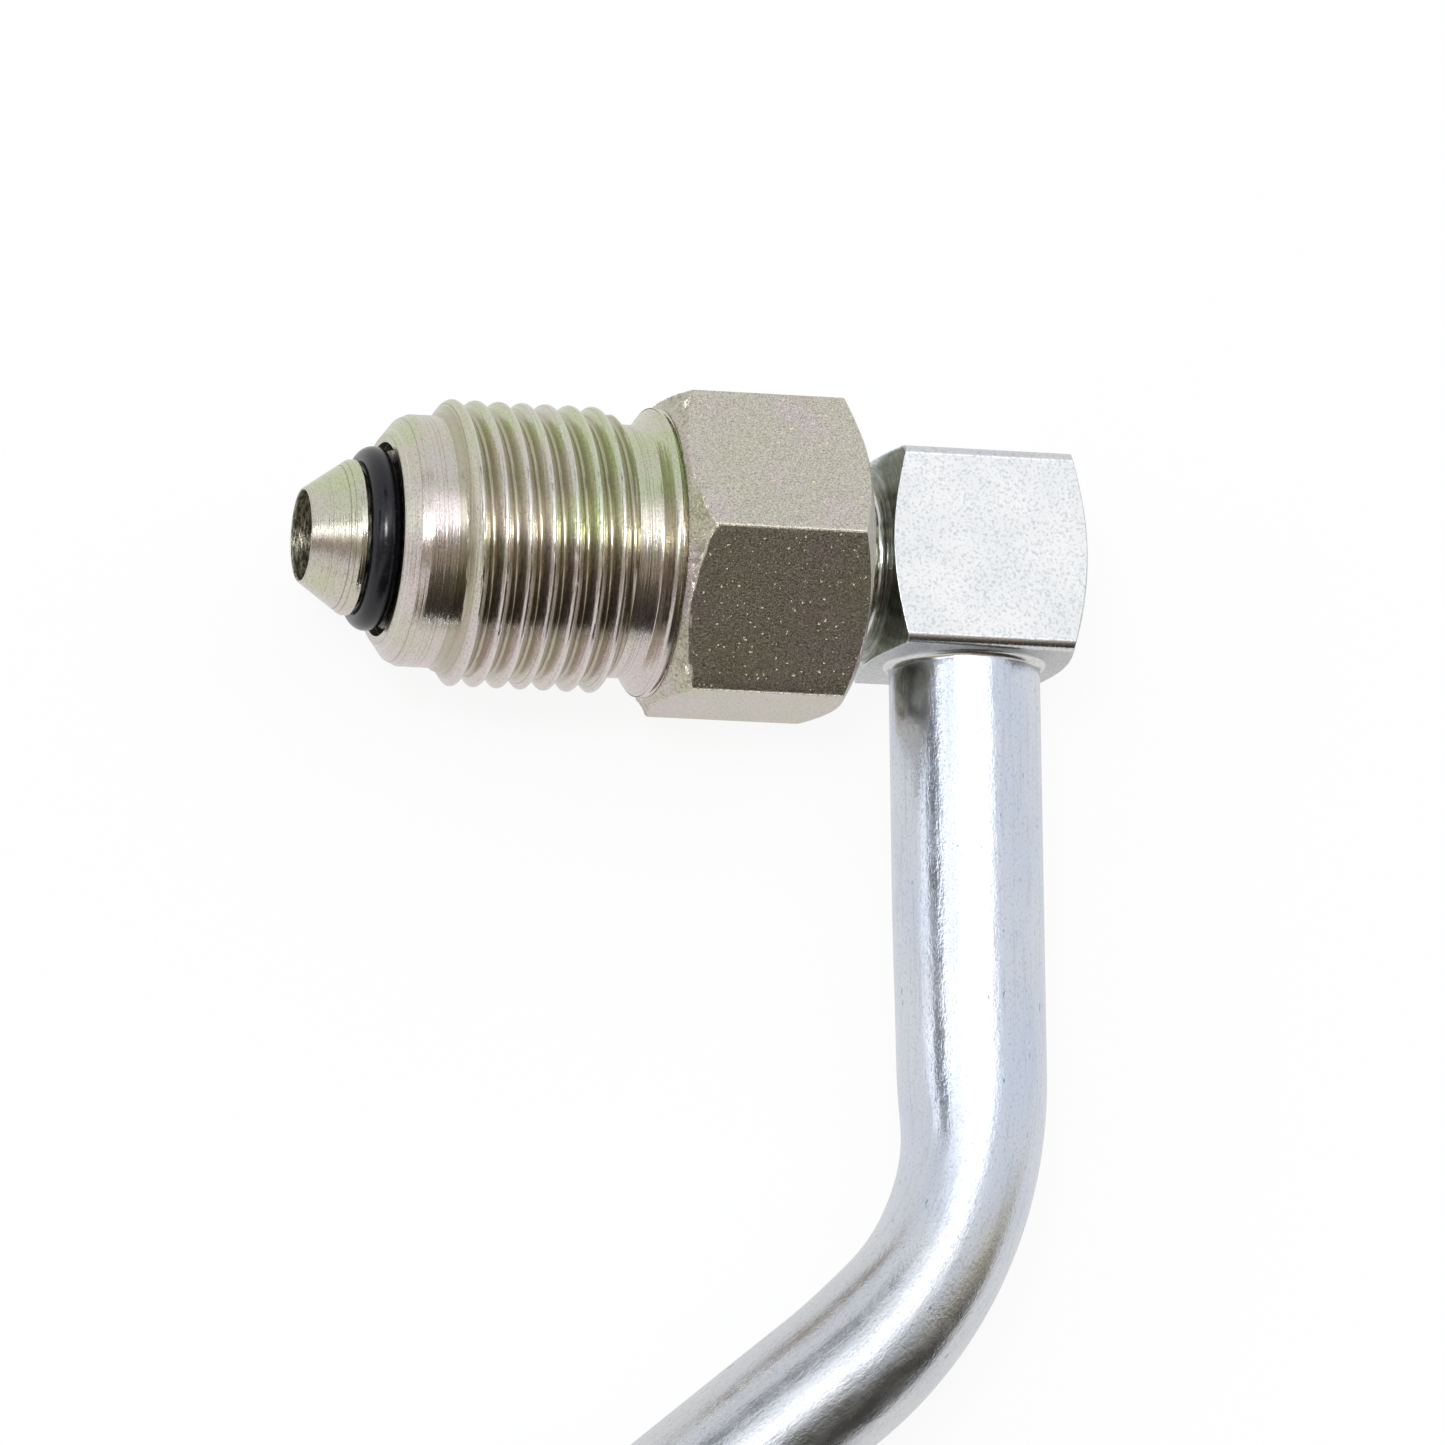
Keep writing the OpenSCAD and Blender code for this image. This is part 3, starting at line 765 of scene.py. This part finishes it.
def carry_along(made, travels, angles, radius):
    """Stores for each point how far along the tube it is and where round it, as one vector in
    metres, so that drawn lines follow the bend and no seam shows."""
    round_it = np.stack([np.sin(angles), np.cos(angles)], -1) * radius
    flat = np.broadcast_to(round_it, (len(travels), len(angles), 2))
    far = np.broadcast_to(travels[:, None, None], (len(travels), len(angles), 1))
    values = np.concatenate([flat, far], -1) * mm
    stored = made.data.attributes.new("along_tube", "FLOAT_VECTOR", "POINT")
    stored.data.foreach_set("vector", values.astype(np.float32).ravel())


carry_along(tube, np.concatenate([travel, inner_travel]), tube_angles, tube_r)

# ---- Hose stem -------------------------------------------------------------------------------
# Turned steel: a socket that the tube is brazed into, a groove that locks the ferrule, and a
# barbed stem that the hose goes over. Its barbs lean back, so that the hose slides on easily.
bend_end = np.array(tube_path(np.array([first_run + bend_len]))[0][0])
run_ahead = np.array([-math.sin(bend_angle), -math.cos(bend_angle)])
run_side = np.array([math.cos(bend_angle), -math.sin(bend_angle)])


def on_second_run(grid):
    """Carries a piece turned about X to the tube's second run: X runs on along the tube from
    the end of its bend, and Y points to the outside of the bend."""
    flat = bend_end + grid[..., :1] * run_ahead + grid[..., 1:2] * run_side
    return np.concatenate([flat, grid[..., 2:]], -1)


stem_x, stem_collar_r = second_run, 6.5
lock_x, lock_width, lock_r = stem_x + 11.4, 1.8, 5.6
collar_end_x = lock_x + lock_width + 1.2
barb_count, barb_pitch, barb_r, barb_root_r = 6, 3.6, 5.1, 4.6
barb_flat, barb_gap = 0.5, 0.7
stem_end_x, stem_bore_r = lock_x + 27.9, 3.0
stem_corners = [(stem_x, tube_r + 0.05, 0.05), (stem_x, stem_collar_r, 0.45),
                (lock_x, stem_collar_r, 0.1), (lock_x, lock_r, 0.1),
                (lock_x + lock_width, lock_r, 0.1), (lock_x + lock_width, stem_collar_r, 0.1),
                (collar_end_x, stem_collar_r - 0.4, 0.15), (collar_end_x, barb_root_r, 0.15)]
for k in range(barb_count):
    barb_x = collar_end_x + 1.4 + k * barb_pitch
    stem_corners += [(barb_x, barb_root_r, 0.08), (barb_x, barb_r, 0.06),
                     (barb_x + barb_flat, barb_r, 0.1),
                     (barb_x + barb_pitch - barb_gap, barb_root_r - 0.05, 0.1)]
stem_corners += [(stem_end_x - 0.8, barb_root_r, 0.2), (stem_end_x, barb_root_r - 0.6, 0.1),
                 (stem_end_x, stem_bore_r, 0.1), (stem_x + tube_in_stem, stem_bore_r, 0.1),
                 (stem_x + tube_in_stem, tube_r + 0.05, 0.1)]
stem_profile = rounded_loop(stem_corners, 0.25)


def satin_zinc(name, pitch):
    """Satin zinc plate over turned steel: even cool grey, with fine rings from the lathe."""
    satin_pale, satin_grey, ring_grey = (0.74, 0.76, 0.79), (0.66, 0.70, 0.76), (0.45, 0.48, 0.53)
    material, shader, place = metal(name)
    turned_place = add(material, "Mapping", {"Vector": place,
                                             "Location": (-bend_end[0] * mm, -bend_end[1] * mm, 0)},
                       vector_type="POINT").outputs[0]
    along = add(material, "VectorMath", {0: turned_place, 1: (*run_ahead, 0)},
                operation="DOT_PRODUCT").outputs["Value"]
    marks = rings(material, along, pitch)
    cloud = blotches(material, place, 3, 3)
    grain = blotches(material, place, 0.06, 2)
    colour = tinted(material, spread(material, cloud, 0.35, 0.65), satin_pale, satin_grey)
    colour = tinted(material, spread(material, marks, 0.6, 0.8, 0, 0.35), colour, ring_grey)
    rough = sums(material, "ADD", spread(material, cloud, 0.3, 0.7, 0.26, 0.34),
                 spread(material, marks, 0.5, 0.8, 0, 0.08))
    finish(material, shader, colour, rough, [(marks, 0.003), (grain, 0.0015)])
    return material


piece("hose_stem_steel", on_second_run(turned(stem_profile[:, :1], stem_profile[:, 1:],
                                              round_angles(160))),
      "hose_end", ["hose_stem"], [satin_zinc("zinc_stem_satin", 0.2)])
stem_fillet_along, stem_fillet_out = fillet(tube_r, fillet_leg, alloy_angles, 43)
piece("stem_fillet", on_second_run(turned(stem_x + stem_fillet_along, stem_fillet_out,
                                          alloy_angles)),
      "hose_end", ["stem_braze"], [alloy_metal])

# ---- Crimp ferrule ---------------------------------------------------------------------------
# A turned steel shell, staked into the stem's lock groove. Its front is rounded over, and the
# ribs inside it bite the hose's cover once it is crimped. It is plated satin.
ferrule_r, ferrule_bore_r = 11.0, 9.2
mouth_x = lock_x + 28.5
rib_count, rib_pitch, rib_rise = 5, 4.2, 0.35
ferrule_corners = [(lock_x + 0.05, lock_r + 0.05, 0.1), (lock_x + 0.05, ferrule_r - 2.2, 0.6),
                   (lock_x + 1.4, ferrule_r, 0.9), (mouth_x - 0.6, ferrule_r, 0.3),
                   (mouth_x, ferrule_r - 0.5, 0.2), (mouth_x, ferrule_bore_r + 0.25, 0.1),
                   (mouth_x - 0.25, ferrule_bore_r, 0.1)]
for k in range(rib_count, 0, -1):
    rib_x = lock_x + 1 + k * rib_pitch
    ferrule_corners += [(rib_x + 1.1, ferrule_bore_r, 0.1),
                        (rib_x + 0.5, ferrule_bore_r - rib_rise, 0.05),
                        (rib_x, ferrule_bore_r - rib_rise, 0.05), (rib_x, ferrule_bore_r, 0.05)]
ferrule_corners += [(lock_x + lock_width - 0.05, ferrule_bore_r, 0.4),
                    (lock_x + lock_width - 0.05, lock_r + 0.05, 0.1)]
ferrule_profile = rounded_loop(ferrule_corners, 0.3)
ferrule_marks = np.where(ferrule_profile[:, 1:] > ferrule_r - 0.01,
                         0.002 * waves(ferrule_profile[:, :1], 0.7, 47) - 0.004, 0)
piece("crimp_ferrule_steel",
      on_second_run(turned(ferrule_profile[:, :1], ferrule_profile[:, 1:] + ferrule_marks,
                           round_angles(192))),
      "hose_end", ["crimp_ferrule"], [satin_zinc("zinc_ferrule_satin", 0.25)])

# ---- Floor -----------------------------------------------------------------------------------
# A plain white floor under the part. It shows near white to the camera, a little darker in the
# metal, and keeps a soft shadow.
floor_z = cad_box[0][2]
floor_half = 3.0
floor_mesh = bpy.data.meshes.new("floor")
floor_mesh.from_pydata([(-floor_half, -floor_half, floor_z), (floor_half, -floor_half, floor_z),
                        (floor_half, floor_half, floor_z), (-floor_half, floor_half, floor_z)],
                       [], [(0, 1, 2, 3)])
floor = bpy.data.objects.new("floor", floor_mesh)
bpy.context.scene.collection.objects.link(floor)
floor_material = bpy.data.materials.new("floor_white")
floor_material.use_nodes = True
floor_tree = floor_material.node_tree
floor_tree.nodes.clear()
floor_paint = add(floor_material, "BsdfDiffuse", {"Color": (0.92, 0.92, 0.92, 1)})
floor_glow = add(floor_material, "Emission", {"Color": (1, 1, 1, 1), "Strength": 1.0})
rays = add(floor_material, "LightPath")
mirrored = sums(floor_material, "MAXIMUM", rays.outputs["Is Glossy Ray"],
                rays.outputs["Is Transmission Ray"])
seen = sums(floor_material, "MAXIMUM", rays.outputs["Is Camera Ray"], mirrored)
glow = add(floor_material, "MapRange", {"Value": mirrored, "To Min": 1.0, "To Max": 0.82})
floor_tree.links.new(glow.outputs[0], floor_glow.inputs["Strength"])
floor_mix = add(floor_material, "MixShader",
                {0: sums(floor_material, "MULTIPLY", seen, 0.9),
                 1: floor_paint.outputs[0], 2: floor_glow.outputs[0]})
add(floor_material, "OutputMaterial", {"Surface": floor_mix.outputs[0]})
floor_mesh.materials.append(floor_material)

# ---- World and lamps -------------------------------------------------------------------------
# A white studio. Overhead hangs a softbox with a small bright core, beside it a white cloth. In
# front stand a dark screen and a brown wall, at one side a dark card, and two dark gaps show
# between the cloths. The camera itself sees plain white.
world = bpy.data.worlds.new("studio")
bpy.context.scene.world = world
world.use_nodes = True
world.node_tree.nodes.clear()
sky = add(world, "TexCoord").outputs["Generated"]
sky_split = add(world, "SeparateXYZ", {"Vector": sky})
sky_x, sky_y, sky_z = sky_split.outputs
sky_angle = sums(world, "MULTIPLY", sums(world, "ARCTAN2", sky_y, sky_z), 180 / math.pi)


def band(low_from, low_to, high_from, high_to, value):
    """1 where a value lies between two limits, fading out from each limit."""
    return sums(world, "MULTIPLY", spread(world, value, low_from, low_to),
                spread(world, value, high_to, high_from))


def toward(x, y, z):
    """How closely the sky's direction points to x, y, z: 1 straight at it, 0 square to it."""
    inputs = {0: sky, 1: Vector((x, y, z)).normalized()}
    return add(world, "VectorMath", inputs, operation="DOT_PRODUCT").outputs["Value"]


def spot(x, y, z, edge, core):
    """1 within core degrees of the direction x, y, z, fading to 0 at edge degrees from it."""
    return spread(world, toward(x, y, z), math.cos(math.radians(edge)),
                  math.cos(math.radians(core)))


def dimmed(light, share, amount):
    """A light lowered by amount where share is 1."""
    kept = sums(world, "SUBTRACT", 1.0, sums(world, "MULTIPLY", share, amount))
    return sums(world, "MULTIPLY", light, kept)


softbox_lean = sums(world, "MULTIPLY", sums(world, "SUBTRACT", sky_x, 0.26), 40)
softbox = sums(world, "MULTIPLY",
               spread(world, sums(world, "SUBTRACT", sky_angle, softbox_lean), 0, 5),
               spread(world, sums(world, "ADD", sky_angle, softbox_lean), 31, 26))
softbox = sums(world, "MULTIPLY", softbox, band(-0.3, -0.24, 0.36, 0.4, sky_x))
softbox = dimmed(softbox, sums(world, "MULTIPLY", spread(world, sky_y, 0.16, 0.42),
                               spread(world, sky_x, 0.2, 0.1)), 0.9)
softbox_wing = sums(world, "MULTIPLY", band(-0.26, -0.16, 0.16, 0.22, sky_y),
                    band(0.34, 0.38, 0.52, 0.62, sky_x))
white_cloth = sums(world, "MULTIPLY", band(-8, 0, 28, 40, sky_angle),
                   band(-0.86, -0.82, -0.46, -0.4, sky_x))
cloth_gap, side_gap = spot(-0.90, 0.22, 0.38, 11, 7.5), spot(-0.21, 0.71, 0.67, 11, 6.5)
nose_lamp, low_lamp = spot(-0.80, -0.02, 0.6, 14, 8), spot(-0.97, 0.2, 0.03, 12, 5)
softbox_core = spot(-0.32, 0, 0.947, 9, 7)
level = 1.0
for light, strength in ((softbox, 1.3), (softbox_wing, 0.12), (white_cloth, 0.45)):
    level = sums(world, "ADD", level, sums(world, "MULTIPLY", light, strength))
level = dimmed(dimmed(level, cloth_gap, 0.85), side_gap, 0.9)
for light, strength in ((nose_lamp, 1.8), (low_lamp, 0.8), (softbox_core, 26)):
    level = sums(world, "ADD", level, sums(world, "MULTIPLY", light, strength))
wall = sums(world, "MULTIPLY", band(-0.62, -0.48, -0.26, 0.06, sky_y),
            spread(world, sky_x, 0.5, 0.38))
slant = sums(world, "ADD", sky_y, sums(world, "MULTIPLY", sky_x, 0.6))
side_card = sums(world, "MULTIPLY", spread(world, sky_x, 0.38, 0.46),
                 spread(world, slant, 0.3, 0.21))
screen = add(world, "ValToRGB", {"Fac": toward(0.45, -0.893, 0)})
screen_stops = [(0.40, (0.79, 0.81, 0.84)), (0.49, (0.66, 0.61, 0.50)),
                (0.57, (0.32, 0.28, 0.20)), (0.65, (0.075, 0.068, 0.055)),
                (0.8, (0.12, 0.10, 0.07)), (0.87, (0.035, 0.032, 0.028))]
ramp = screen.color_ramp
while len(ramp.elements) < len(screen_stops):
    ramp.elements.new(1.0)
for stop, (place_on_ramp, shade) in zip(ramp.elements, screen_stops):
    stop.position = place_on_ramp
    stop.color = (*shade, 1)
world_rays = add(world, "LightPath")
wall_brown, card_dark = (0.24, 0.19, 0.12), (0.045, 0.042, 0.038)
browned = tinted(world, sums(world, "MULTIPLY", wall, 0.75), screen.outputs[0], wall_brown)
browned = tinted(world, sums(world, "MULTIPLY", side_card, 0.95), browned, card_dark)
world_light = add(world, "Background", {"Color": browned, "Strength": level})
world_view = add(world, "Background", {"Color": (1, 1, 1, 1), "Strength": 1.0})
world_mix = add(world, "MixShader", {0: world_rays.outputs["Is Camera Ray"],
                                     1: world_light.outputs[0], 2: world_view.outputs[0]})
add(world, "OutputWorld", {"Surface": world_mix.outputs[0]})
